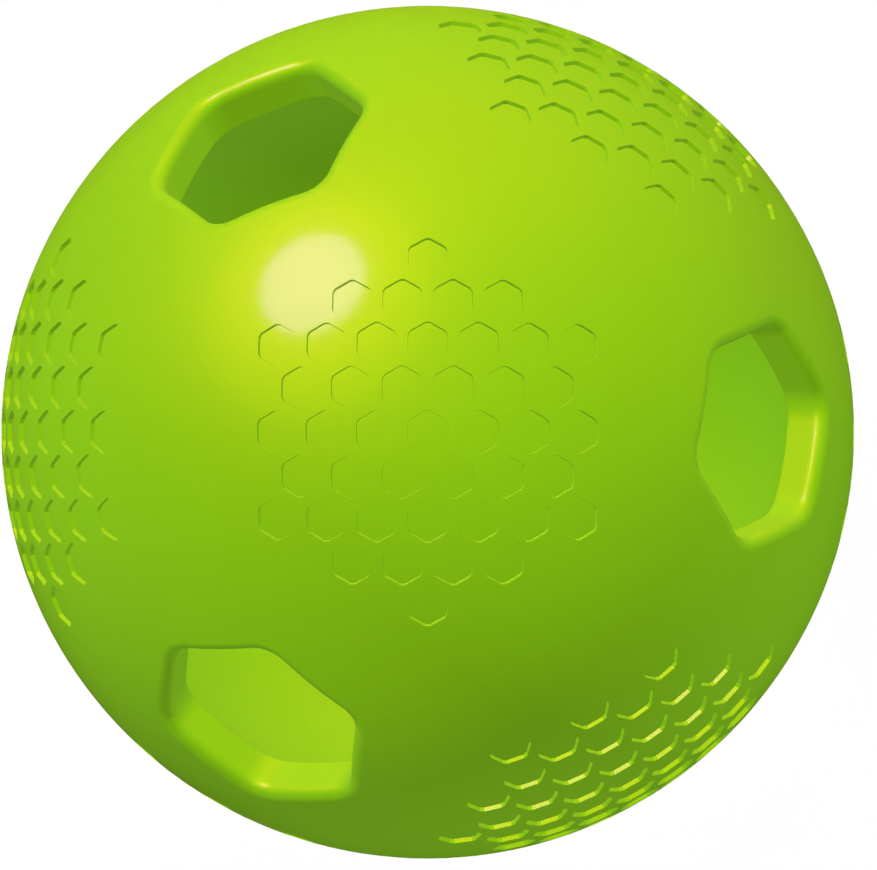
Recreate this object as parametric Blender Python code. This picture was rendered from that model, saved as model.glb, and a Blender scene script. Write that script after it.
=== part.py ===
"""Hollow foam practice ball: two identical half shells bonded along tongue and groove joints.

Metres, +Z up, origin at the ball's centre. Each axis runs through the middle of a hexagonal opening, and the
ball stands on the lip of the lower one.
"""

import math

import bmesh
import bpy
from mathutils import Vector
from mathutils.geometry import delaunay_2d_cdt, intersect_point_line

# Ball
BALL_DIAMETER = 0.074
WALL = 0.004

# Hexagonal openings
OPENING_ACROSS_FLATS = 0.017
OPENING_CORNER_RADIUS = 0.0029
OPENING_LIP_RADIUS = 0.001

# Fields of sunk hexagons, one to an octant
DIMPLE_PITCH = 0.0045
DIMPLE_ACROSS_FLATS = 0.0035
DIMPLE_DEPTH = 0.0004
DIMPLE_WALL_RUN = 0.00008
FIELD_REACH = 3

# Joint between the halves
FIT_GAP = 0.0003
TONGUE_WIDTH = 0.0012
TONGUE_HEIGHT = 0.0012
TONGUE_END_MARGIN = 0.0012
BEAD_THICKNESS = 0.0004

# Fineness of the facets
CORNER_STEPS = 4
FLAT_STEPS = 2
LIP_STEPS = 3
JOINT_STEPS = 12
INNER_FACET = 0.006
LATTICE_ROWS = 12
SKIN_MARGIN = 0.45  # least distance from a rim to a point of the skin, as a share of its pitch
SMOOTH_ANGLE = math.radians(32)
TOUCHING = 1e-8
SAME_PLACE = 1e-6

# Colours, linear
FOAM_COLOUR = (0.3, 0.6, 0.01, 1.0)
ADHESIVE_COLOUR = (0.62, 0.68, 0.3, 1.0)

BALL_RADIUS = BALL_DIAMETER / 2
INNER_RADIUS = BALL_RADIUS - WALL
SEAM_Z = FIT_GAP / 2
GROOVE_WIDTH = TONGUE_WIDTH + 2 * FIT_GAP
GROOVE_DEPTH = TONGUE_HEIGHT + BEAD_THICKNESS + FIT_GAP

AXES = (Vector((1, 0, 0)), Vector((0, 1, 0)), Vector((0, 0, 1)))
MIDDLE = Vector((1, 1, 1)).normalized()
ROW_AXIS = (AXES[1] - MIDDLE * AXES[1].dot(MIDDLE)).normalized()
COLUMN_AXIS = MIDDLE.cross(ROW_AXIS)


def clear_scene():
    for obj in list(bpy.data.objects):
        bpy.data.objects.remove(obj, do_unlink=True)


def principled(name, colour, roughness):
    material = bpy.data.materials.new(name)
    material.use_nodes = True
    shader = material.node_tree.nodes["Principled BSDF"]
    shader.inputs["Base Color"].default_value = colour
    shader.inputs["Roughness"].default_value = roughness
    material.diffuse_color = colour
    return material


def steps_between(start, end, count):
    """Points after start, up to and with end, on a straight line."""
    return [start.lerp(end, (i + 1) / count) for i in range(count)]


def quarter_outline():
    """A quarter of an opening's rounded hexagon as (point, normal) pairs, from a corner to the middle of a side."""
    across = OPENING_ACROSS_FLATS / 2
    reach = (across - OPENING_CORNER_RADIUS) / math.cos(math.radians(30))

    def corner(turn, start, end, count):
        centre = Vector((math.cos(math.radians(turn)), math.sin(math.radians(turn)))) * reach
        found = []
        for i in range(count + 1):
            angle = math.radians(start + (end - start) * i / count)
            normal = Vector((math.cos(angle), math.sin(angle)))
            found.append((centre + normal * OPENING_CORNER_RADIUS, normal))
        return found

    half_corner = corner(0, 0, 30, CORNER_STEPS // 2)
    whole_corner = corner(60, 30, 90, CORNER_STEPS)
    (start, normal), (end, _) = half_corner[-1], whole_corner[0]
    side = [(point, normal) for point in steps_between(start, end, FLAT_STEPS)[:-1]]
    up = Vector((0, 1))
    (start, _), end = whole_corner[-1], Vector((0, across))
    half_side = [(point, up) for point in steps_between(start, end, max(1, FLAT_STEPS // 2))]
    return half_corner + side + whole_corner + half_side


def opening_section(index, point, normal):
    """Points down the wall of the opening on axis index: round the lip, down the flat and to the inner edge."""
    axis = AXES[index]
    along, across = AXES[(index + 1) % 3], AXES[(index + 2) % 3]
    inward = -(along * normal.x + across * normal.y)
    centre = point + normal * OPENING_LIP_RADIUS
    height = math.sqrt((BALL_RADIUS - OPENING_LIP_RADIUS) ** 2 - centre.length_squared)
    lip_centre = along * centre.x + across * centre.y + axis * height
    outward = lip_centre.normalized()
    section = [
        lip_centre + outward.slerp(inward, i / LIP_STEPS) * OPENING_LIP_RADIUS
        for i in range(LIP_STEPS + 1)
    ]
    inner_height = math.sqrt(INNER_RADIUS**2 - point.length_squared)
    section.append(along * point.x + across * point.y + axis * inner_height)
    return section


def add_opening(bm, index):
    """A quarter of an opening's lip and wall. Gives its verts on the ball's outside and on its inside."""
    columns = [
        [bm.verts.new(co) for co in opening_section(index, point, normal)]
        for point, normal in quarter_outline()
    ]
    for left, right in zip(columns, columns[1:]):
        for i in range(len(left) - 1):
            bm.faces.new((left[i], left[i + 1], right[i + 1], right[i]))
    return [column[0] for column in columns], [column[-1] for column in columns]


def flattened(co):
    """Position of a point of a sphere in the octant's map: its distance and bearing from the octant's middle."""
    away = co - MIDDLE * co.dot(MIDDLE)
    if away.length < TOUCHING:
        return Vector((0, 0))
    distance = co.angle(MIDDLE) * BALL_RADIUS
    return Vector((away.dot(ROW_AXIS), away.dot(COLUMN_AXIS))).normalized() * distance


def wrapped(spot, radius):
    """The point of a sphere at a position in the octant's map."""
    if spot.length < TOUCHING:
        return MIDDLE * radius
    bearing = (ROW_AXIS * spot.x + COLUMN_AXIS * spot.y).normalized()
    angle = spot.length / BALL_RADIUS
    return (MIDDLE * math.cos(angle) + bearing * math.sin(angle)) * radius


def lattice(pitch, reach):
    """Centres of a hexagonal lattice, row by row, out to reach rows and columns from the middle."""
    row_height = pitch * math.sqrt(3) / 2
    for row in range(-reach, reach + 1):
        for half in range(-2 * reach, 2 * reach + 1):
            if (half + row) % 2 == 0:
                yield Vector((half * pitch / 2, row * row_height))


def in_field(spot):
    limit = DIMPLE_PITCH * FIELD_REACH + SAME_PLACE
    turns = (0, math.radians(60), math.radians(120))
    return all(abs(spot.x * math.cos(t) + spot.y * math.sin(t)) < limit for t in turns)


def inside_by(loop, spot, margin):
    """Whether a position is inside a closed loop, and that far from it."""
    inside = False
    for a, b in zip(loop, loop[1:] + loop[:1]):
        if (a.y > spot.y) != (b.y > spot.y):
            inside ^= spot.x < (b.x - a.x) * (spot.y - a.y) / (b.y - a.y) + a.x
        near, part = intersect_point_line(spot, a, b)
        near = a if part < 0 else b if part > 1 else near
        if (near.xy - spot).length < margin:
            return False
    return inside


def add_skin(bm, rims, radius, pitch, dimpled):
    """The octant's part of a sphere, between the rims of its three openings. Gives the faces of its dimples."""
    edge_verts = []
    for rim, following in zip(rims, rims[1:] + rims[:1]):
        start, end = rim[-1].co.normalized(), following[0].co.normalized()
        count = max(2, round(start.angle(end) * radius / pitch))
        middle_edge = [start.slerp(end, (i + 1) / count) * radius for i in range(count - 1)]
        edge_verts += rim + [bm.verts.new(co) for co in middle_edge]
    verts = list(edge_verts)
    spots = [flattened(v.co) for v in verts]
    loop = list(spots)
    edges = [(i, (i + 1) % len(loop)) for i in range(len(loop))]

    cells = []
    for spot in lattice(pitch, LATTICE_ROWS):
        if dimpled and in_field(spot):
            turns = [math.radians(30 + 60 * i) for i in range(6)]
            size = DIMPLE_ACROSS_FLATS / math.sqrt(3)
            corners = [spot + Vector((math.cos(t), math.sin(t))) * size for t in turns]
            cells.append(list(range(len(spots), len(spots) + 6)))
            spots += corners
        elif inside_by(loop, spot, pitch * SKIN_MARGIN):
            spots.append(spot)
    verts += [bm.verts.new(wrapped(spot, radius)) for spot in spots[len(verts):]]

    _, _, faces, sources, _, cell_of = delaunay_2d_cdt(spots, edges, cells, 1, TOUCHING)
    for face, owners in zip(faces, cell_of):
        if not owners:
            bm.faces.new([verts[sources[i][0]] for i in face])
    return [bm.faces.new([verts[i] for i in cell]) for cell in cells]


def octant():
    """An eighth of the ball: outside with its dimples, a quarter of each of three openings, and the inside."""
    bm = bmesh.new()
    openings = [add_opening(bm, index) for index in (0, 2, 1)]
    dimples = add_skin(bm, [outer for outer, _ in openings], BALL_RADIUS, DIMPLE_PITCH, True)
    bm.normal_update()
    bmesh.ops.inset_individual(
        bm, faces=dimples, thickness=DIMPLE_WALL_RUN, depth=-DIMPLE_DEPTH, use_even_offset=True
    )
    add_skin(bm, [inner for _, inner in openings], INNER_RADIUS, INNER_FACET, False)
    return bm


def joint_outline(width, side):
    """A strip along the middle of the wall in the seam plane, in the quarter where y has the given sign."""
    middle = BALL_RADIUS - WALL / 2
    flat = OPENING_ACROSS_FLATS / 2
    corner = (flat - OPENING_CORNER_RADIUS) / math.cos(math.radians(30)) + OPENING_CORNER_RADIUS
    clear = OPENING_LIP_RADIUS + TONGUE_END_MARGIN - width / 2
    start = math.asin((corner + clear) / middle)
    end = math.pi / 2 - math.asin((flat + clear) / middle)
    points = []
    for radius, first, last in (
        (middle - width / 2, start, end),
        (middle + width / 2, end, start),
    ):
        for i in range(JOINT_STEPS + 1):
            turn = first + (last - first) * i / JOINT_STEPS
            points.append(Vector((math.cos(turn), side * math.sin(turn), 0)) * radius)
    return points


def add_joint(bm, rim_edges, width, height, turn):
    """Closes one rim with a flat that carries a tongue (height below zero) or a groove, turned half round or not."""
    side = 1 if height < 0 else -1
    flip = -1 if turn else 1
    ring = [
        bm.verts.new((flip * co.x, flip * co.y, SEAM_Z)) for co in joint_outline(width, side)
    ]
    ring_edges = [bm.edges.new((a, b)) for a, b in zip(ring, ring[1:] + ring[:1])]
    bmesh.ops.triangle_fill(bm, edges=rim_edges + ring_edges, use_beauty=True, normal=(0, 0, -1))
    cap = bm.faces.new(ring)
    raised = bmesh.ops.extrude_discrete_faces(bm, faces=[cap])["faces"][0]
    bmesh.ops.translate(bm, verts=raised.verts, vec=(0, 0, height))


def half_shell_mesh():
    """The moulding that both halves are: open at the top, with its seam face at the bottom."""
    bm = octant()
    for axis in ("X", "Y"):
        bmesh.ops.mirror(
            bm, geom=bm.verts[:] + bm.edges[:] + bm.faces[:], axis=axis, merge_dist=SAME_PLACE
        )
    rim = [edge for edge in bm.edges if edge.is_boundary]
    for vert in {v for edge in rim for v in edge.verts}:
        vert.co.z = SEAM_Z
    for x, y in ((1, 1), (-1, 1), (-1, -1), (1, -1)):
        quarter = [e for e in rim if x * (e.verts[0].co.x + e.verts[1].co.x) > 0]
        quarter = [e for e in quarter if y * (e.verts[0].co.y + e.verts[1].co.y) > 0]
        if x == y:
            add_joint(bm, quarter, TONGUE_WIDTH, -TONGUE_HEIGHT, x < 0)
        else:
            add_joint(bm, quarter, GROOVE_WIDTH, GROOVE_DEPTH, x < 0)
    bmesh.ops.recalc_face_normals(bm, faces=bm.faces[:])
    return mesh_from(bm, "half_shell")


def bead_mesh():
    """Adhesive between the floor of a groove and the tip of the tongue in it."""
    bm = bmesh.new()
    floor = SEAM_Z + GROOVE_DEPTH - FIT_GAP
    ring = [bm.verts.new((co.x, co.y, floor)) for co in joint_outline(TONGUE_WIDTH, -1)]
    top = bm.faces.new(ring)
    sides = bmesh.ops.extrude_face_region(bm, geom=[top])["geom"]
    moved = [item for item in sides if isinstance(item, bmesh.types.BMVert)]
    bmesh.ops.translate(bm, verts=moved, vec=(0, 0, -BEAD_THICKNESS))
    bmesh.ops.recalc_face_normals(bm, faces=bm.faces[:])
    return mesh_from(bm, "adhesive_bead")


def mesh_from(bm, name):
    mesh = bpy.data.meshes.new(name)
    bm.to_mesh(mesh)
    bm.free()
    mesh.shade_smooth()
    mesh.set_sharp_from_angle(angle=SMOOTH_ANGLE)
    return mesh


def place(name, mesh, material, turn, parent):
    obj = bpy.data.objects.new(name, mesh)
    if not mesh.materials:
        mesh.materials.append(material)
    obj.rotation_euler = turn
    obj.parent = parent
    bpy.context.scene.collection.objects.link(obj)


def main():
    clear_scene()
    foam = principled("skinned_foam", FOAM_COLOUR, 0.4)
    adhesive = principled("cured_adhesive", ADHESIVE_COLOUR, 0.5)
    ball = bpy.data.objects.new("ball", None)
    bpy.context.scene.collection.objects.link(ball)
    half = half_shell_mesh()
    place("upper_half_shell", half, foam, (0, 0, 0), ball)
    place("lower_half_shell", half, foam, (math.pi, 0, 0), ball)
    bead = bead_mesh()
    place("adhesive_bead_1", bead, adhesive, (0, 0, 0), ball)
    place("adhesive_bead_2", bead, adhesive, (0, 0, math.pi), ball)
    place("adhesive_bead_3", bead, adhesive, (math.pi, 0, 0), ball)
    place("adhesive_bead_4", bead, adhesive, (0, math.pi, 0), ball)


main()
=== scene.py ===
from math import asin, cos, pi, radians, sin, sqrt, tan

import bmesh
import bpy
from bpy.props import FloatProperty, FloatVectorProperty, PointerProperty
from mathutils import Matrix, Vector
from mathutils.geometry import intersect_point_line


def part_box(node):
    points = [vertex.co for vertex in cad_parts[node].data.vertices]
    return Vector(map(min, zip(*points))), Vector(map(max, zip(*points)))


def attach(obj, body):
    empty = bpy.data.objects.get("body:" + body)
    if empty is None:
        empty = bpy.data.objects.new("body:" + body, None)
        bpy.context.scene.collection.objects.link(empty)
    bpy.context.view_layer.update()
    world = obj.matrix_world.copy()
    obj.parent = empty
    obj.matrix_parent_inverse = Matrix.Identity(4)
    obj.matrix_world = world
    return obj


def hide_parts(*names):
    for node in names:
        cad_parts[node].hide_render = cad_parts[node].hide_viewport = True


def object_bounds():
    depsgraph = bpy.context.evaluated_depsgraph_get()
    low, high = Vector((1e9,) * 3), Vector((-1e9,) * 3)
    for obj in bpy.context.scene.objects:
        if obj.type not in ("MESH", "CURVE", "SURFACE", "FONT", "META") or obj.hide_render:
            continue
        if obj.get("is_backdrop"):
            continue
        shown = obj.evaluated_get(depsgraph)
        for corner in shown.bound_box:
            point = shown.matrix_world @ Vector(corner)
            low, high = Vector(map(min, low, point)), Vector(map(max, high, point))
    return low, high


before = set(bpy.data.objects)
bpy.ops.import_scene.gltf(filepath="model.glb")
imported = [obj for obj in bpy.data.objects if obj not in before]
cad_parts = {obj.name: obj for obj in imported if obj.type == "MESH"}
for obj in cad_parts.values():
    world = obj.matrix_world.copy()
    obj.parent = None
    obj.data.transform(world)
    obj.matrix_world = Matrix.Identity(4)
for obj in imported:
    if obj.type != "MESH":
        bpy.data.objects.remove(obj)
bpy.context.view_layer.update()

bl_info = {
    "name": "Foam Practice Ball",
    "version": (1, 0, 0),
    "blender": (4, 5, 0),
    "location": "View3D > Sidebar > Foam Ball",
    "description": "Builds a hollow foam ball with hexagonal openings and fields of sunk hexagons",
    "category": "Object",
}

# Each axis runs through two openings. A field of dimples sits in the middle of each octant, with
# its rows along ROW_AXIS. The photograph looks straight at one of these fields, so the same three
# directions aim the camera.
AXES = (Vector((1, 0, 0)), Vector((0, 1, 0)), Vector((0, 0, 1)))
MIDDLE = Vector((1, 1, 1)).normalized()
ROW_AXIS = (AXES[1] - MIDDLE * AXES[1].dot(MIDDLE)).normalized()
COLUMN_AXIS = MIDDLE.cross(ROW_AXIS)

# Signs of x and y in the four quarters of the joint, which run from opening to opening.
QUARTERS = ((1, 1), (-1, 1), (-1, -1), (1, -1))

FIELD_REACH = 3  # pitches from a field's middle to each of its six sides
SHEET_ROWS = 8  # rows of the honeycomb on each side of the field's middle row
LIP_STEPS = 6  # facets across a lip
CORNER_STEPS = 8  # facets round an opening's corner
FLAT_CUTS = 5  # cuts along an opening's flat
INNER_SUBDIVISIONS = 5  # of the icosphere that makes the hollow
JOINT_STEPS = 24  # facets along a tongue, a groove or a bead
BEAD_STEPS = 3  # facets round a bead's edges

HEX_TURN = radians(60)  # from one corner of a hexagon to the next
HEX_FLAT = cos(HEX_TURN / 2)  # from a hexagon's middle to its flats, when its corners are 1 away
HEX_TANGENT = tan(HEX_TURN / 2)  # from a corner to where its rounding begins, at a radius of 1

# Angles about an opening's axis: from its edge to the end of its collar, which lies on the round
# skin, and from there to where the outer and the inner skin are trimmed.
COLLAR_MARGIN = radians(1.0)
OUTER_TRIM = radians(0.6)
INNER_TRIM = radians(1.0)

TOUCHING = 1e-6  # metres within which two places are the same
SMOOTH_ANGLE = radians(25)  # edges that turn more than this stay sharp
FACING_OUT = 0.9  # cosine past which a face looks straight in or out
FACING_ASIDE = 0.35  # cosine under which a face is a wall
BEAD_EDGE_ANGLE = radians(60)  # edges of a bead that turn more than this are rounded
BEAD_ROUNDING = 0.4  # share of the bead's thickness

# Widths, in metres, of what shows in the finishes. The foam's real cells are about 0.2 mm. They are
# drawn coarser, because such fine ones don't show at this size.
DENSITY_DRIFT = 0.014
FOAM_CELL = 0.0005
BRUSH_RIDGE = 0.0006

# Weight of the clear coat, which gives the sharp white part of the shine.
COAT_ON_SKIN = 0.062
COAT_ON_WALLS = 0.025

CAMERA_DISTANCE = 0.5  # metres from the ball's middle
SURROUND_STRENGTH = 0.46  # brightness of the surround, of which 1 is white

# Lights, as seen from the camera: how far right, up and towards it each one stands, its strength in
# watts per square metre, the angle that it fills in degrees, its colour, and whether it lights the
# skin, only shines on it, or lights the floor from straight above.
LIGHTS = (
    ("key", (-0.59, 0.46, 0.66), 1.44, 4, "#F9FFFF", "skin"),
    ("right_softbox", (0.69, 0.63, 0.36), 1.12, 4, "#F9FFFF", "skin"),
    ("warm_top", (0.08, 0.97, 0.13), 0.75, 4, "#FF5800", "skin"),
    ("back_top", (-0.06, 0.71, -0.70), 0.62, 4, "#CCFFFF", "skin"),
    ("back_low", (0.29, -0.58, -0.76), 0.85, 4, "#FFFFFF", "skin"),
    ("back_left", (-0.75, 0.41, -0.52), 0.54, 4, "#FFFFFF", "skin"),
    ("key_shine", (-0.488, 0.629, 0.604), 16.0, 27, "#DE90FF", "shine"),
    ("key_glow", (-0.50, 0.55, 0.67), 8.0, 60, "#FFBC00", "shine"),
    ("top_shine", (0.08, 0.97, 0.13), 3.0, 60, "#FF0000", "shine"),
    ("floor_light", (-0.408, 0.707, 0.577), 0.68, 40, "#FFFFFF", "floor"),
)


def linear(code):
    """Linear RGBA of an sRGB hex colour."""
    channels = [int(code[i : i + 2], 16) / 255 for i in (1, 3, 5)]
    return [c / 12.92 if c <= 0.04045 else ((c + 0.055) / 1.055) ** 2.4 for c in channels] + [1.0]


def length(name, default, description):
    """A length in metres, shown in the scene's units."""
    return FloatProperty(
        name=name, description=description, default=default, min=0, unit="LENGTH", precision=5
    )


def colour(name, code, description):
    """A colour, from its sRGB hex value."""
    return FloatVectorProperty(
        name=name, description=description, default=linear(code), size=4, subtype="COLOR"
    )


class BallSizes(bpy.types.PropertyGroup):
    """Sizes of the foam ball."""

    diameter: length("Diameter", 0.074, "Across the ball's round outside")
    wall: length("Wall", 0.004, "Thickness of the foam")
    opening: length("Opening", 0.017, "Across the flats of a hexagonal opening")
    corner: length("Corner radius", 0.0029, "Rounding of an opening's corners")
    lip: length("Lip radius", 0.001, "Rounding of an opening's outer edge")
    inner_edge: length("Inner edge", 0.0002, "Break on an opening's inner edge")
    pitch: length("Dimple pitch", 0.0045, "From one dimple's middle to the next")
    dimple: length("Dimple", 0.0035, "Across the flats of a dimple's top edge")
    depth: length("Dimple depth", 0.0004, "How far a dimple's floor is sunk")
    dimple_corner: length("Dimple corner", 0.0004, "Rounding of a dimple's corners")
    dimple_edge: length("Dimple edge", 0.00001, "Break on a dimple's top edge")
    draft: length("Dimple draft", 0.000003, "How far a dimple's wall leans, seen from above")
    seam: length("Seam", 0.000004, "Hairline left open between the bonded halves")
    tongue: length("Tongue", 0.0012, "Width and height of the tongue in the joint")
    joint_gap: length("Joint gap", 0.0003, "Clearance on each side of the tongue")
    joint_end: length("Joint end", 0.0012, "Foam left between the joint's end and an opening's lip")
    bead: length("Adhesive bead", 0.0004, "Thickness of the adhesive over a tongue")


class BallFinish(bpy.types.PropertyGroup):
    """Colours of the foam and of its adhesive."""

    foam: colour("Foam", "#91D213", "Lime pigment in the foam's skin")
    foam_deep: colour("Foam, dense", "#8ECE12", "Where the skin set a little denser")
    # Painted shade: darker than the outside's colour, standing in for the shade inside the hollow.
    foam_inside_painted_shade: colour("Foam, inside", "#86CB12", "The duller skin on the inside")
    gloss: colour("Foam gloss", "#FFFF00", "Tint of the soft shine in the skin")
    adhesive: colour("Adhesive", "#D8D49A", "Cured contact adhesive")
    adhesive_edge: colour("Adhesive, thin", "#BFC07A", "Where the adhesive was squeezed thin")


class BallStage(bpy.types.PropertyGroup):
    """Floor, light and camera."""

    floor_size: length("Floor", 3.0, "Side of the square floor")
    floor: colour("Floor colour", "#E2E2E6", "Pale matt floor")
    backdrop: colour("Backdrop", "#F9FFFF", "Studio surround")
    view_width: length("View width", 0.07609, "Width of the picture at the ball")
    view_right: length("View right", 0.000936, "How far right of the ball the picture is centred")
    view_down: length("View down", 0.000247, "How far below the ball the picture is centred")


def add_node(tree, kind, settings=None, inputs=None):
    """A node with its settings, and its inputs as values or as the sockets that feed them."""
    node = tree.nodes.new(kind)
    for name, value in (settings or {}).items():
        setattr(node, name, value)
    for name, value in (inputs or {}).items():
        if isinstance(value, bpy.types.NodeSocket):
            tree.links.new(value, node.inputs[name])
        else:
            node.inputs[name].default_value = value
    return node


def new_material(name):
    """A material with an empty Principled shader, and its node tree."""
    material = bpy.data.materials.new(name)
    material.use_nodes = True
    tree = material.node_tree
    tree.nodes.clear()
    shader = add_node(tree, "ShaderNodeBsdfPrincipled")
    add_node(tree, "ShaderNodeOutputMaterial", inputs={"Surface": shader.outputs["BSDF"]})
    return material, tree, shader


def skinned_foam(finish, sizes):
    """Polyurethane foam moulded against a polished tool: a closed lime skin with a soft shine,
    faintly pebbled where the cells under it show through, less glossy on the inside, and painted
    darker there as shade in the hollow."""
    material, tree, shader = new_material("moulded_polyurethane_foam_skin")
    place = add_node(tree, "ShaderNodeTexCoord").outputs["Object"]
    # The foam's density, and so its shade, drifts as it fills the tool.
    drift = add_node(
        tree,
        "ShaderNodeTexNoise",
        inputs={"Vector": place, "Scale": 1 / DENSITY_DRIFT, "Detail": 3.0, "Roughness": 0.55},
    )
    blend = add_node(
        tree,
        "ShaderNodeMix",
        {"data_type": "RGBA"},
        {"Factor": drift.outputs["Fac"], "A": finish.foam, "B": finish.foam_deep},
    )
    # The inside is told from the outside by its distance from the ball's middle. The inside gets a
    #     darker colour, which is painted shade for the hollow.
    height = add_node(tree, "ShaderNodeVectorMath", {"operation": "LENGTH"}, {0: place})
    inner = sizes.diameter / 2 - sizes.wall
    outside = add_node(
        tree,
        "ShaderNodeMapRange",
        inputs={
            "Value": height.outputs["Value"],
            "From Min": inner,
            "From Max": inner + sizes.inner_edge,
        },
    )
    skin = add_node(
        tree,
        "ShaderNodeMix",
        {"data_type": "RGBA"},
        {
            "Factor": outside.outputs["Result"],
            "A": finish.foam_inside_painted_shade,
            "B": blend.outputs["Result"],
        },
    )
    cells = add_node(
        tree, "ShaderNodeTexNoise", inputs={"Vector": place, "Scale": 1 / FOAM_CELL, "Detail": 1.0}
    )
    pebble = add_node(
        tree,
        "ShaderNodeBump",
        inputs={"Height": cells.outputs["Fac"], "Strength": 0.05, "Distance": 0.00002},
    )
    # The skin is polished where it faces out of the ball, and duller on walls and inside.
    normal = add_node(tree, "ShaderNodeNewGeometry").outputs["Normal"]
    out = add_node(tree, "ShaderNodeVectorMath", {"operation": "NORMALIZE"}, {0: place})
    facing = add_node(
        tree,
        "ShaderNodeVectorMath",
        {"operation": "DOT_PRODUCT"},
        {0: normal, 1: out.outputs["Vector"]},
    )
    coat = add_node(
        tree,
        "ShaderNodeMapRange",
        inputs={
            "Value": facing.outputs["Value"],
            "From Min": FACING_ASIDE,
            "From Max": FACING_OUT,
            "To Min": COAT_ON_WALLS,
            "To Max": COAT_ON_SKIN,
        },
    )
    tree.links.new(skin.outputs["Result"], shader.inputs["Base Color"])
    tree.links.new(pebble.outputs["Normal"], shader.inputs["Normal"])
    tree.links.new(coat.outputs["Result"], shader.inputs["Coat Weight"])
    shader.inputs["Roughness"].default_value = 0.5
    shader.inputs["IOR"].default_value = 1.3
    shader.inputs["Specular Tint"].default_value = finish.gloss
    shader.inputs["Coat Roughness"].default_value = 0.12
    return material


def contact_adhesive(finish):
    """Contact adhesive, brushed on and cured: a dull straw film, paler where it lies thick, with
    the ridges that the brush left."""
    material, tree, shader = new_material("cured_contact_adhesive")
    place = add_node(tree, "ShaderNodeTexCoord").outputs["Object"]
    ridges = add_node(
        tree,
        "ShaderNodeTexNoise",
        inputs={"Vector": place, "Scale": 1 / BRUSH_RIDGE, "Detail": 2.0},
    )
    blend = add_node(
        tree,
        "ShaderNodeMix",
        {"data_type": "RGBA"},
        {"Factor": ridges.outputs["Fac"], "A": finish.adhesive, "B": finish.adhesive_edge},
    )
    bump = add_node(
        tree,
        "ShaderNodeBump",
        inputs={"Height": ridges.outputs["Fac"], "Strength": 0.4, "Distance": 0.0001},
    )
    tree.links.new(blend.outputs["Result"], shader.inputs["Base Color"])
    tree.links.new(bump.outputs["Normal"], shader.inputs["Normal"])
    shader.inputs["Roughness"].default_value = 0.45
    shader.inputs["IOR"].default_value = 1.48
    return material


def all_of(bm):
    """All of a bmesh's geometry."""
    return bm.verts[:] + bm.edges[:] + bm.faces[:]


def trim(bm, point, normal, radius):
    """Cuts a part of a sphere off beyond a plane, and keeps the cut's verts on the sphere."""
    cut = bmesh.ops.bisect_plane(
        bm, geom=all_of(bm), dist=TOUCHING, plane_co=point, plane_no=normal, clear_outer=True
    )
    for item in cut["geom_cut"]:
        if isinstance(item, bmesh.types.BMVert):
            item.co *= radius / item.co.length


def join(bm, part):
    """Adds another bmesh's geometry to bm, and frees it."""
    mesh = bpy.data.meshes.new("joined")
    part.to_mesh(mesh)
    part.free()
    bm.from_mesh(mesh)
    bpy.data.meshes.remove(mesh)


def core_reach(sizes):
    """From an opening's axis to the corners of the hexagon that its outline runs round."""
    return (sizes.opening / 2 - sizes.corner) / HEX_FLAT


def collar_angle(sizes, edge, radius):
    """Angle from an opening's axis to the end of its collar, past an edge of the given width."""
    return asin((core_reach(sizes) + sizes.corner + edge) / radius) + COLLAR_MARGIN


def outer_collar(sizes):
    """Angle at which an opening's lip hands over to the outer skin."""
    return collar_angle(sizes, sizes.lip, sizes.diameter / 2 - sizes.lip)


def inner_collar(sizes):
    """Angle at which an opening's inner edge hands over to the hollow's skin."""
    return collar_angle(sizes, sizes.inner_edge, sizes.diameter / 2 - sizes.wall)


def in_field(spot, pitch):
    """Whether a cell of the flat honeycomb is one of a field's dimples."""
    limit = pitch * FIELD_REACH + TOUCHING
    turns = [HEX_TURN * i for i in range(3)]
    return all(abs(spot.x * cos(turn) + spot.y * sin(turn)) < limit for turn in turns)


def honeycomb(sizes):
    """A flat honeycomb that covers one octant, its middle cells sunk into dimples and the others
    cut finer."""
    bm = bmesh.new()
    row_height = sizes.pitch * sqrt(3) / 2
    for row in range(-SHEET_ROWS, SHEET_ROWS + 1):
        for half in range(-2 * SHEET_ROWS, 2 * SHEET_ROWS + 1):
            spot = Vector((half * sizes.pitch / 2, row * row_height, 0))
            if (half + row) % 2 == 0 and spot.length < SHEET_ROWS * row_height:
                bmesh.ops.create_circle(
                    bm,
                    cap_ends=True,
                    segments=6,
                    radius=sizes.pitch / sqrt(3),
                    matrix=Matrix.Translation(spot),
                )
    bmesh.ops.remove_doubles(bm, verts=bm.verts[:], dist=TOUCHING)
    bm.normal_update()
    dimples = [f for f in bm.faces if in_field(f.calc_center_median(), sizes.pitch)]
    plain = [f for f in bm.faces if f not in dimples]

    land = (sizes.pitch - sizes.dimple) / 2
    bmesh.ops.inset_individual(bm, faces=dimples, thickness=land, use_even_offset=True)
    bmesh.ops.bevel(
        bm,
        geom=[v for face in dimples for v in face.verts],
        offset=sizes.dimple_corner * HEX_TANGENT,
        offset_type="OFFSET",
        affect="VERTICES",
        segments=1,
        profile=0.5,
        material=-1,
    )
    # Only a dimple has two verts at each of its six corners now.
    dimples = [f for f in bm.faces if len(f.verts) == 12]
    top_edge = (sizes.dimple_edge, sizes.dimple_edge)
    wall = (sizes.draft, sizes.depth - sizes.dimple_edge)
    for run, drop in (top_edge, wall):
        bm.normal_update()
        bmesh.ops.inset_individual(
            bm, faces=dimples, thickness=run, depth=-drop, use_even_offset=True
        )
    fans = bmesh.ops.poke(bm, faces=plain)["faces"]
    edges = list(dict.fromkeys(edge for face in fans for edge in face.edges))
    bmesh.ops.subdivide_edges(bm, edges=edges, cuts=1, use_grid_fill=True)
    return bm


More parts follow.
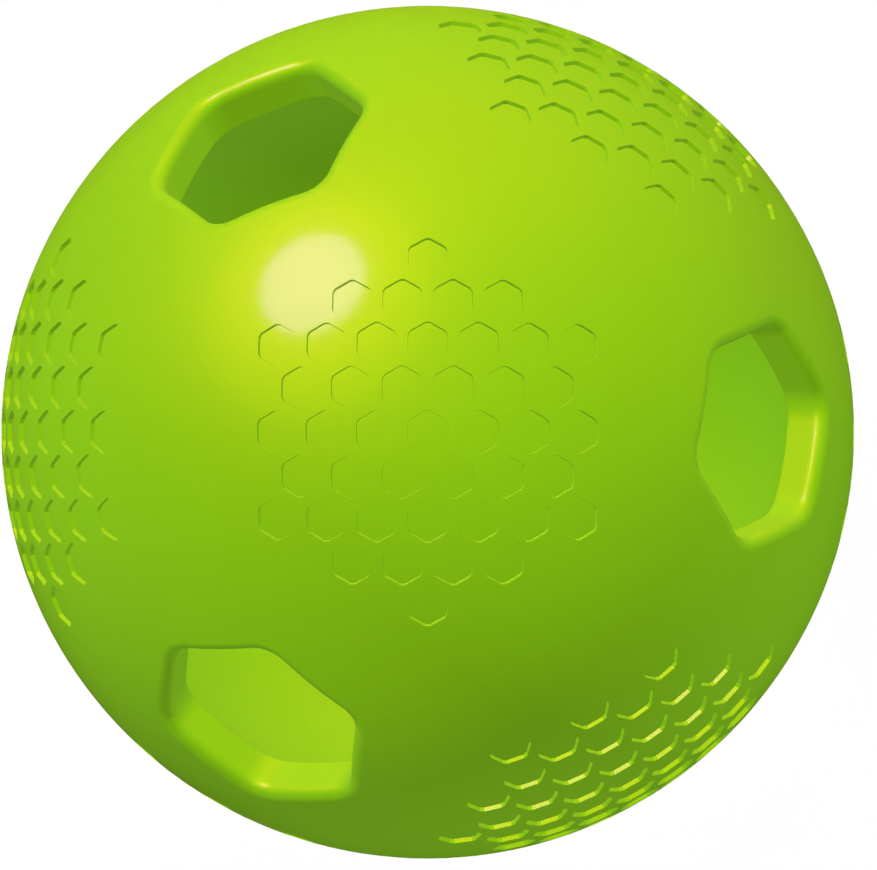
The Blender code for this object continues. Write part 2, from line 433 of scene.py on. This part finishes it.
def outer_skin(sizes):
    """The ball's outside: a honeycomb wrapped on one octant, trimmed, and mirrored to the other
    seven."""
    radius = sizes.diameter / 2
    bm = honeycomb(sizes)
    for vert in bm.verts:
        away = ROW_AXIS * vert.co.x + COLUMN_AXIS * vert.co.y
        angle = away.length / radius
        out = MIDDLE * cos(angle) + away.normalized() * sin(angle)
        vert.co = out * (radius + vert.co.z)
    for axis in AXES:
        trim(bm, (0, 0, 0), -axis, radius)
    for axis in AXES:
        trim(bm, axis * radius * cos(outer_collar(sizes) + OUTER_TRIM), axis, radius)
    for axis in "XYZ":
        bmesh.ops.mirror(bm, geom=all_of(bm), axis=axis, merge_dist=TOUCHING)
    return bm


def inner_skin(sizes):
    """The hollow's round wall, open at the six openings."""
    radius = sizes.diameter / 2 - sizes.wall
    bm = bmesh.new()
    bmesh.ops.create_icosphere(bm, subdivisions=INNER_SUBDIVISIONS, radius=radius)
    for axis in AXES:
        for side in (axis, -axis):
            trim(bm, side * radius * cos(inner_collar(sizes) + INNER_TRIM), side, radius)
    return bm


def hexagon_core(sizes):
    """Corners of the hexagon that an opening's outline runs round, one corner radius away."""
    turns = [HEX_TURN * i for i in range(6)]
    return [Vector((cos(turn), sin(turn))) * core_reach(sizes) for turn in turns]


def nearest_on_core(core, spot):
    """The core hexagon's nearest point to a place on the outline."""
    points = []
    for a, b in zip(core, core[1:] + core[:1]):
        _, share = intersect_point_line(spot, a, b)
        points.append(a.lerp(b, min(1, max(0, share))))
    return min(points, key=lambda point: (point - spot).length)


def on_ball(flat, radius):
    """The place on a sphere over a place in the flat."""
    return flat.to_3d() + Vector((0, 0, sqrt(radius**2 - flat.length_squared)))


def opening_section(sizes, core, spot):
    """Points from the inside of the wall to the outside, through one place on an opening's outline,
    about +Z."""
    outer = sizes.diameter / 2
    inner = outer - sizes.wall
    base = nearest_on_core(core, spot)
    normal = (spot - base).normalized()
    spot = base + normal * sizes.corner
    flare = spot.normalized()
    # A second point near each end of the straight wall keeps its shading even.
    step = Vector((0, 0, sizes.inner_edge))
    foot = on_ball(spot, inner) + step
    lip_middle = on_ball(spot + normal * sizes.lip, outer - sizes.lip)
    inward, outward = -normal.to_3d(), lip_middle.normalized()
    points = [
        on_ball(flare * inner * sin(inner_collar(sizes)), inner),
        on_ball(spot + normal * sizes.inner_edge, inner),
        foot,
        foot + step,
        lip_middle + inward * sizes.lip - step,
    ]
    for i in range(LIP_STEPS + 1):
        points.append(lip_middle + inward.slerp(outward, i / LIP_STEPS) * sizes.lip)
    points.append(on_ball(flare * outer * sin(outer_collar(sizes)), outer))
    return points


def opening_rim(sizes):
    """An opening's wall and lip about +Z: a rounded hexagon drawn up ring by ring into a straight
    tube, which is then formed to the section."""
    bm = bmesh.new()
    bmesh.ops.create_circle(
        bm,
        cap_ends=True,
        segments=6,
        radius=sizes.opening / 2 / HEX_FLAT,
        matrix=Matrix.Rotation(HEX_TURN / 2, 4, "Z"),
    )
    bmesh.ops.bevel(
        bm,
        geom=bm.verts[:],
        offset=sizes.corner * HEX_TANGENT,
        offset_type="OFFSET",
        affect="VERTICES",
        segments=CORNER_STEPS,
        profile=0.5,
        material=-1,
    )
    flats = [e for e in bm.edges if e.calc_length() > sizes.corner]
    bmesh.ops.subdivide_edges(bm, edges=flats, cuts=FLAT_CUTS)
    bmesh.ops.delete(bm, geom=bm.faces[:], context="FACES_ONLY")
    core = hexagon_core(sizes)
    edges = bm.edges[:]
    rings = len(opening_section(sizes, core, bm.verts[:][0].co.xy))
    # A ring's height in the tube is its number in the section.
    for _ in range(rings - 1):
        drawn = bmesh.ops.extrude_edge_only(bm, edges=edges)["geom"]
        edges = [item for item in drawn if isinstance(item, bmesh.types.BMEdge)]
        verts = [item for item in drawn if isinstance(item, bmesh.types.BMVert)]
        bmesh.ops.translate(bm, verts=verts, vec=(0, 0, 1))
    for vert in bm.verts:
        vert.co = opening_section(sizes, core, vert.co.xy)[round(vert.co.z)]
    return bm


def close_gaps(bm, sizes):
    """Fills the narrow rings that are left round each opening, outside and inside."""
    loose = [edge for edge in bm.edges if edge.is_boundary]
    middle = (sizes.diameter - sizes.wall) / 2
    for axis in AXES:
        for side in (axis, -axis):
            ends = [e for e in loose if e.verts[0].co.angle(side) < pi / 4]
            outside = [e for e in ends if e.verts[0].co.length > middle]
            inside = [e for e in ends if e.verts[0].co.length < middle]
            for ring in (outside, inside):
                bmesh.ops.triangle_fill(bm, edges=ring, use_beauty=True, normal=side)


def whole_ball(sizes):
    """The shell of the ball in one, before it is parted into halves."""
    bm = outer_skin(sizes)
    join(bm, inner_skin(sizes))
    for i, axis in enumerate(AXES):
        along, across = AXES[(i + 1) % 3], AXES[(i + 2) % 3]
        for side in (1, -1):
            rim = opening_rim(sizes)
            turn = Matrix((along, across * side, axis * side)).transposed()
            bmesh.ops.rotate(rim, verts=rim.verts[:], cent=(0, 0, 0), matrix=turn)
            join(bm, rim)
    close_gaps(bm, sizes)
    return bm


def joint_strip(bm, sizes, width, height, quarter):
    """A strip of faces along the middle of the wall in one quarter, spun about the ball's axis."""
    middle = (sizes.diameter - sizes.wall) / 2
    clear = sizes.lip + sizes.joint_end - width / 2
    start = asin((core_reach(sizes) + sizes.corner + clear) / middle)
    end = pi / 2 - asin((sizes.opening / 2 + clear) / middle)
    ends = [
        bm.verts.new((cos(start) * r, sin(start) * r, height))
        for r in (middle - width / 2, middle + width / 2)
    ]
    first = bm.edges.new(ends)
    before = set(bm.verts)
    bmesh.ops.spin(
        bm,
        geom=ends + [first],
        cent=(0, 0, 0),
        axis=(0, 0, 1),
        angle=end - start,
        steps=JOINT_STEPS,
        use_merge=False,
    )
    verts = ends + [v for v in bm.verts if v not in before]
    bmesh.ops.scale(bm, verts=verts, vec=(*quarter, 1))
    return list(dict.fromkeys(face for v in verts for face in v.link_faces))


def draw_up(bm, strip, height):
    """Extrudes a strip of faces along Z."""
    drawn = bmesh.ops.extrude_face_region(bm, geom=strip)["geom"]
    raised = [item for item in drawn if isinstance(item, bmesh.types.BMVert)]
    bmesh.ops.translate(bm, verts=raised, vec=(0, 0, height))


def close_rim(bm, sizes, seam, quarter):
    """Closes the half shell's wall in one quarter of the seam, with a tongue or a groove in it."""
    x, y = quarter
    rim = [
        e
        for e in seam
        if x * (e.verts[0].co.x + e.verts[1].co.x) > 0
        and y * (e.verts[0].co.y + e.verts[1].co.y) > 0
    ]
    if x == y:
        width, height = sizes.tongue, -sizes.tongue
    else:
        width = sizes.tongue + 2 * sizes.joint_gap
        height = sizes.tongue + sizes.bead + 2 * sizes.joint_gap
    strip = joint_strip(bm, sizes, width, sizes.seam / 2, quarter)
    border = [e for f in strip for e in f.edges if e.is_boundary]
    bmesh.ops.triangle_fill(bm, edges=rim + border, use_beauty=True, normal=(0, 0, -1))
    draw_up(bm, strip, height)
    bmesh.ops.delete(bm, geom=[f for f in strip if f.is_valid], context="FACES")


def half_shell(sizes):
    """The moulding that both halves are, its seam face down, with two tongues and two grooves."""
    bm = whole_ball(sizes)
    bmesh.ops.bisect_plane(
        bm,
        geom=all_of(bm),
        dist=TOUCHING,
        plane_co=(0, 0, 0),
        plane_no=(0, 0, 1),
        clear_inner=True,
    )
    seam = [edge for edge in bm.edges if edge.is_boundary]
    for edge in seam:
        for vert in edge.verts:
            vert.co.z = sizes.seam / 2
    for quarter in QUARTERS:
        close_rim(bm, sizes, seam, quarter)
    bmesh.ops.recalc_face_normals(bm, faces=bm.faces[:])
    if any(not edge.is_manifold for edge in bm.edges):
        raise RuntimeError("the half shell isn't closed")
    return bm


def smooth_on_ball(mesh, sizes):
    """Shades the skin as the true sphere that its facets lie on, and leaves the edges that are
    sharp."""
    mesh.shade_smooth()
    mesh.set_sharp_from_angle(angle=SMOOTH_ANGLE)
    outer = sizes.diameter / 2
    skins = ((outer, 1), (outer - sizes.depth, 1), (outer - sizes.wall, -1))
    normals = [Vector((0, 0, 0))] * len(mesh.loops)
    for face in mesh.polygons:
        for index in face.loop_indices:
            place = mesh.vertices[mesh.loops[index].vertex_index].co
            out = place.normalized()
            for radius, side in skins:
                on_skin = abs(place.length - radius) < TOUCHING
                if on_skin and face.normal.dot(out) * side > FACING_OUT:
                    normals[index] = out * side
    mesh.normals_split_custom_set(normals)


def adhesive_bead(sizes, low, high):
    """A bead of adhesive with rounded edges, in the quarter and at the height of its CAD box."""
    bm = bmesh.new()
    quarter = [1 if low[i] + high[i] > 0 else -1 for i in (0, 1)]
    strip = joint_strip(bm, sizes, sizes.tongue, low.z, quarter)
    draw_up(bm, strip, high.z - low.z)
    bmesh.ops.recalc_face_normals(bm, faces=bm.faces[:])
    bmesh.ops.bevel(
        bm,
        geom=[e for e in bm.edges if e.calc_face_angle(0) > BEAD_EDGE_ANGLE],
        offset=sizes.bead * BEAD_ROUNDING,
        offset_type="OFFSET",
        affect="EDGES",
        segments=BEAD_STEPS,
        profile=0.5,
        material=-1,
    )
    return bm


def add_piece(mesh, material, node):
    """An object of a mesh's name, which rides on the ball and stands for a CAD node."""
    mesh.materials.append(material)
    obj = bpy.data.objects.new(mesh.name, mesh)
    bpy.context.scene.collection.objects.link(obj)
    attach(obj, "root")
    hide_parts(node)
    return obj


class FOAM_BALL_OT_half_shells(bpy.types.Operator):
    """Builds the two foam half shells with their openings and dimples"""

    bl_idname = "foam_ball.half_shells"
    bl_label = "Foam Half Shells"

    def execute(self, context):
        sizes = context.scene.foam_ball_sizes
        material = skinned_foam(context.scene.foam_ball_finish, sizes)
        bm = half_shell(sizes)
        for half, turn in (("upper", 0), ("lower", pi)):
            mesh = bpy.data.meshes.new(half + "_foam_half")
            bmesh.ops.rotate(bm, verts=bm.verts[:], matrix=Matrix.Rotation(turn, 3, "X"))
            bm.to_mesh(mesh)
            smooth_on_ball(mesh, sizes)
            obj = add_piece(mesh, material, half + "_half_shell")
            # The foam neither shades nor mirrors itself, so its inside is as bright as its outside.
            obj.visible_diffuse = False
            obj.visible_glossy = False
        bm.free()
        return {"FINISHED"}


class FOAM_BALL_OT_adhesive_beads(bpy.types.Operator):
    """Lays the four beads of adhesive that bond the halves"""

    bl_idname = "foam_ball.adhesive_beads"
    bl_label = "Adhesive Beads"

    def execute(self, context):
        sizes = context.scene.foam_ball_sizes
        material = contact_adhesive(context.scene.foam_ball_finish)
        for number in range(1, len(QUARTERS) + 1):
            node = f"adhesive_bead_{number}"
            low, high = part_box(node)
            bm = adhesive_bead(sizes, low, high)
            mesh = bpy.data.meshes.new(f"bead_of_adhesive_{number}")
            bm.to_mesh(mesh)
            bm.free()
            mesh.shade_smooth()
            add_piece(mesh, material, node)
        return {"FINISHED"}


def add_sun(name, towards, strength, angle, code):
    """A sun that stands right, up and near by the given shares, as seen from the camera."""
    light = bpy.data.lights.new(name, "SUN")
    light.energy = strength
    light.angle = radians(angle)
    light.color = linear(code)[:3]
    obj = bpy.data.objects.new(name, light)
    right, up, near = towards
    aim = ROW_AXIS * right + COLUMN_AXIS * up + MIDDLE * near
    obj.rotation_mode = "QUATERNION"
    obj.rotation_quaternion = aim.to_track_quat("Z", "Y")
    bpy.context.scene.collection.objects.link(obj)
    return obj


def add_lights(floor):
    """Shadowless studio light on the ball, so that its inside is as bright as its outside, and one
    light that draws its shadow on the floor."""
    for name, towards, strength, angle, code, use in LIGHTS:
        obj = add_sun(name, towards, strength, angle, code)
        if use == "floor":
            lit = bpy.data.collections.new("floor_only")
            lit.objects.link(floor)
            obj.light_linking.receiver_collection = lit
        else:
            obj.data.use_shadow = False
            obj.visible_diffuse = use == "skin"
            obj.visible_glossy = use == "shine"


def add_floor(stage):
    """A square of pale matt floor under the ball, which throws no light back on it."""
    bm = bmesh.new()
    bmesh.ops.create_grid(bm, x_segments=1, y_segments=1, size=stage.floor_size / 2)
    bmesh.ops.translate(bm, verts=bm.verts[:], vec=(0, 0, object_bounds()[0].z))
    mesh = bpy.data.meshes.new("floor")
    bm.to_mesh(mesh)
    bm.free()
    material, _, shader = new_material("matt_painted_floor")
    shader.inputs["Base Color"].default_value = stage.floor
    shader.inputs["Roughness"].default_value = 0.9
    shader.inputs["Specular IOR Level"].default_value = 0.0
    mesh.materials.append(material)
    floor = bpy.data.objects.new("floor", mesh)
    floor.visible_diffuse = False
    floor.visible_glossy = False
    bpy.context.scene.collection.objects.link(floor)
    floor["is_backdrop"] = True
    return floor


def add_surround(stage):
    """Even light from all round, which the skin doesn't mirror."""
    world = bpy.data.worlds.new("studio")
    world.use_nodes = True
    background = world.node_tree.nodes["Background"]
    background.inputs["Color"].default_value = stage.backdrop
    background.inputs["Strength"].default_value = SURROUND_STRENGTH
    bpy.context.scene.world = world
    world.cycles_visibility.glossy = False


def add_camera(stage):
    """Looks straight at a field of dimples with no perspective, as the photograph does."""
    camera = bpy.data.cameras.new("camera")
    camera.type = "ORTHO"
    camera.ortho_scale = stage.view_width
    obj = bpy.data.objects.new("camera", camera)
    centre = ROW_AXIS * stage.view_right - COLUMN_AXIS * stage.view_down
    turn = Matrix((ROW_AXIS, COLUMN_AXIS, MIDDLE)).transposed().to_4x4()
    obj.matrix_world = Matrix.Translation(centre + MIDDLE * CAMERA_DISTANCE) @ turn
    bpy.context.scene.collection.objects.link(obj)
    bpy.context.scene.camera = obj


class FOAM_BALL_OT_stage(bpy.types.Operator):
    """Sets the floor, the studio light and the camera"""

    bl_idname = "foam_ball.stage"
    bl_label = "Stage"

    def execute(self, context):
        stage = context.scene.foam_ball_stage
        floor = add_floor(stage)
        add_surround(stage)
        add_lights(floor)
        add_camera(stage)
        # Standard keeps the foam's bright lime as strong as it is in the photograph.
        context.scene.view_settings.view_transform = "Standard"
        return {"FINISHED"}


class FOAM_BALL_PT_panel(bpy.types.Panel):
    """Sizes, colours and operators of the foam ball"""

    bl_label = "Foam Ball"
    bl_space_type = "VIEW_3D"
    bl_region_type = "UI"
    bl_category = "Foam Ball"

    def draw(self, context):
        for group in GROUPS:
            values = getattr(context.scene, group)
            box = self.layout.box()
            for name in values.__annotations__:
                box.prop(values, name)
        for operator in OPERATORS:
            self.layout.operator(operator.bl_idname)


GROUPS = {
    "foam_ball_sizes": BallSizes,
    "foam_ball_finish": BallFinish,
    "foam_ball_stage": BallStage,
}
OPERATORS = (FOAM_BALL_OT_half_shells, FOAM_BALL_OT_adhesive_beads, FOAM_BALL_OT_stage)
CLASSES = (*GROUPS.values(), *OPERATORS, FOAM_BALL_PT_panel)


def register():
    for cls in CLASSES:
        bpy.utils.register_class(cls)
    for name, group in GROUPS.items():
        setattr(bpy.types.Scene, name, PointerProperty(type=group))


def unregister():
    for name in GROUPS:
        delattr(bpy.types.Scene, name)
    for cls in reversed(CLASSES):
        bpy.utils.unregister_class(cls)


def main():
    register()
    bpy.ops.foam_ball.half_shells()
    bpy.ops.foam_ball.adhesive_beads()
    bpy.ops.foam_ball.stage()


if __name__ == "__main__":
    main()
